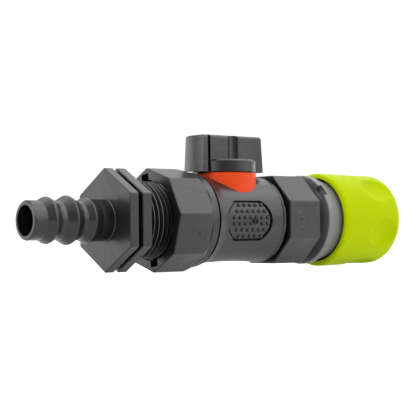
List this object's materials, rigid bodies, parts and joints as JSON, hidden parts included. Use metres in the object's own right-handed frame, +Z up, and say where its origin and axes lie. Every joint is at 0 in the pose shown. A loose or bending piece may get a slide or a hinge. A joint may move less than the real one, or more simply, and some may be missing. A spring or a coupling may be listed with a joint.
{
  "type": "hose quick coupling with shut-off valve",
  "caption": "Straight hose coupling: barbed tail with double hexagon, ball valve with a bar handle on an orange collar, and a quick connector with a sliding sleeve.",
  "frame": {"origin": "on the pipe axis, where the straight wall of the quick connector's socket starts", "axes": "+X along the pipe axis, out of the socket; +Z up along the valve stem to the handle; the picture sees the -Y side"},
  "size_m": [0.1571, 0.0356, 0.0478],
  "materials": {
    "dark_plastic": "fine moulded satin, dark grey",
    "handle_plastic": "fine moulded satin, dark grey",
    "grey_plastic": "smooth moulded, mid grey",
    "lime_plastic": "smooth moulded, lime green",
    "orange_plastic": "smooth moulded, orange red",
    "white_plastic": "smooth moulded, white",
    "black_rubber": "dull black",
    "steel": "drawn stainless steel"
  },
  "bodies": {
    "housing": {"hose_tail": "dark_plastic", "inlet_gasket": "black_rubber", "inlet_collar": "dark_plastic", "inlet_o_ring": "black_rubber", "valve_body": "dark_plastic", "inlet_seat": "white_plastic", "outlet_seat": "white_plastic", "stem_collar": "orange_plastic", "outlet_o_ring": "black_rubber", "outlet_tail": "dark_plastic", "outlet_gasket": "black_rubber", "connector_nut": "dark_plastic", "connector_body": "grey_plastic", "socket_seal": "black_rubber", "snap_ring": "dark_plastic", "sleeve_spring": "steel"},
    "turning_set": {"handle": "handle_plastic", "handle_screw": "steel", "stem": "dark_plastic", "stem_seal_lower": "black_rubber", "stem_seal_upper": "black_rubber", "ball": "white_plastic"},
    "sleeve": {"release_sleeve": "lime_plastic"},
    "near_claw": {"claw_near": "white_plastic"},
    "top_claw": {"claw_top": "white_plastic"},
    "far_claw": {"claw_far": "white_plastic"},
    "bottom_claw": {"claw_bottom": "white_plastic"}
  },
  "joints": [
    {"name": "handle_turn", "type": "hinge", "parent": "housing", "child": "turning_set", "pos_m": [-0.07445, 0, 0], "axis": [0, 0, 1], "range_deg": [0, 90]},
    {"name": "sleeve_slide", "type": "slide", "parent": "housing", "child": "sleeve", "axis": [-1, 0, 0], "range_m": [0, 0.0044], "stiffness_N_per_m": 1000, "springref_m": -0.006, "deforming": ["sleeve_spring"]},
    {"name": "near_claw_slide", "type": "slide", "parent": "housing", "child": "near_claw", "axis": [0, -1, 0], "range_m": [0, 0.0009]},
    {"name": "top_claw_slide", "type": "slide", "parent": "housing", "child": "top_claw", "axis": [0, 0, 1], "range_m": [0, 0.0009]},
    {"name": "far_claw_slide", "type": "slide", "parent": "housing", "child": "far_claw", "axis": [0, 1, 0], "range_m": [0, 0.0009]},
    {"name": "bottom_claw_slide", "type": "slide", "parent": "housing", "child": "bottom_claw", "axis": [0, 0, -1], "range_m": [0, 0.0009]}
  ],
  "couplings": [
    {"joint": "near_claw_slide", "follows": "sleeve_slide", "ratio": 0.20455},
    {"joint": "top_claw_slide", "follows": "sleeve_slide", "ratio": 0.20455},
    {"joint": "far_claw_slide", "follows": "sleeve_slide", "ratio": 0.20455},
    {"joint": "bottom_claw_slide", "follows": "sleeve_slide", "ratio": 0.20455}
  ]
}
